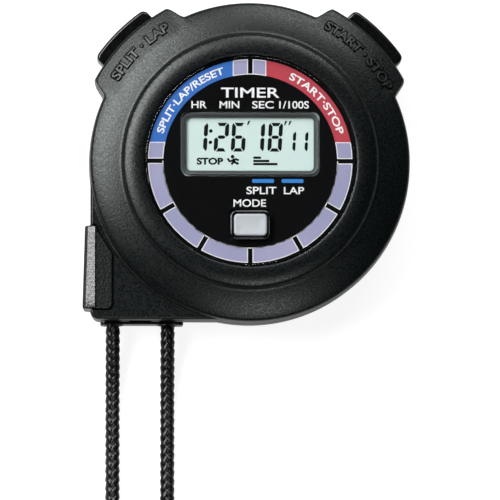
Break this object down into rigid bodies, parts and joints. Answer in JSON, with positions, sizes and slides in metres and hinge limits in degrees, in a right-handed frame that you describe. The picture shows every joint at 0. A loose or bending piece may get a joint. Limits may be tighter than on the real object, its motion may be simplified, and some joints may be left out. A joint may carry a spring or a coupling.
{
  "type": "handheld digital stopwatch",
  "caption": "Round black handheld digital stopwatch with two shoulder push buttons, a mode key on the face and a braided neck cord.",
  "frame": {"origin": "on the rear face, under the centre of the dial", "axes": "+Z out through the display, +Y to twelve o'clock, +X to three o'clock"},
  "size_m": [0.0657, 0.1554, 0.0183],
  "materials": {
    "case_front": "fine moulded grain",
    "case_rear": "smooth",
    "cover": "coarse moulded grain",
    "push_cap": "smooth",
    "window": "clear acrylic",
    "dial_print": "printed",
    "display_bezel": "satin",
    "display_glass": "pale grey-green display",
    "reflector_foil": "satin",
    "holder_white": "moulded",
    "zebra_rubber": "matt",
    "board_green": "solder mask",
    "chip_resin": "poured resin",
    "steel": "bright",
    "contact_gold": "gilt",
    "ceramic_tan": "fired",
    "holder_black": "moulded",
    "mode_key": "satin",
    "pad_rubber": "matt",
    "neck_cord": "braided",
    "tie_band": "woven"
  },
  "bodies": {
    "case": {"front_case": "case_front", "rear_case": "case_rear", "rear_screw_1": "steel", "rear_screw_2": "steel", "rear_screw_3": "steel", "rear_screw_4": "steel", "lens": "window", "dial_plate": "dial_print", "lcd_bezel": "display_bezel", "lcd_panel": "display_glass", "lcd_reflector": "reflector_foil", "lcd_holder": "holder_white", "zebra_strip_upper": "zebra_rubber", "zebra_strip_lower": "zebra_rubber", "circuit_board": "board_green", "board_screw_1": "steel", "board_screw_2": "steel", "board_screw_3": "steel", "ic_blob": "chip_resin", "quartz_crystal": "steel", "capacitor_1": "ceramic_tan", "capacitor_2": "ceramic_tan", "battery": "steel", "battery_holder": "holder_black", "battery_plus_clip": "steel", "battery_minus_spring": "steel", "mode_pad": "pad_rubber", "cord_plate": "push_cap", "cord_post": "holder_black", "cord_inner_loop": "neck_cord", "cord_strand_left": "neck_cord", "cord_strand_right": "neck_cord", "cord_coil": "neck_cord", "cord_tie": "tie_band", "start_stop_spring": "steel", "start_stop_contact": "contact_gold", "split_lap_spring": "steel", "split_lap_contact": "contact_gold"},
    "start_stop_button": {"start_stop_cap": "push_cap", "start_stop_stem": "steel", "start_stop_clip": "steel"},
    "split_lap_button": {"split_lap_cap": "push_cap", "split_lap_stem": "steel", "split_lap_clip": "steel"},
    "mode_key": {"mode_button": "mode_key"},
    "corner_cover_body": {"corner_cover": "cover"}
  },
  "joints": [
    {"name": "start_stop_press", "type": "slide", "parent": "case", "child": "start_stop_button", "axis": [-0.7071, -0.7071, 0], "range_m": [0, 0.0012], "stiffness_N_per_m": 1500, "springref_m": -0.0006, "deforming": ["start_stop_spring"]},
    {"name": "split_lap_press", "type": "slide", "parent": "case", "child": "split_lap_button", "axis": [0.7071, -0.7071, 0], "range_m": [0, 0.0012], "stiffness_N_per_m": 1500, "springref_m": -0.0006, "deforming": ["split_lap_spring"]},
    {"name": "mode_press", "type": "slide", "parent": "case", "child": "mode_key", "axis": [0, 0, -1], "range_m": [0, 0.0008], "stiffness_N_per_m": 1200, "springref_m": -0.0004, "deforming": ["mode_pad"]},
    {"name": "corner_cover_slide", "type": "slide", "parent": "case", "child": "corner_cover_body", "axis": [-1, 0, 0], "range_m": [0, 0.01]}
  ]
}
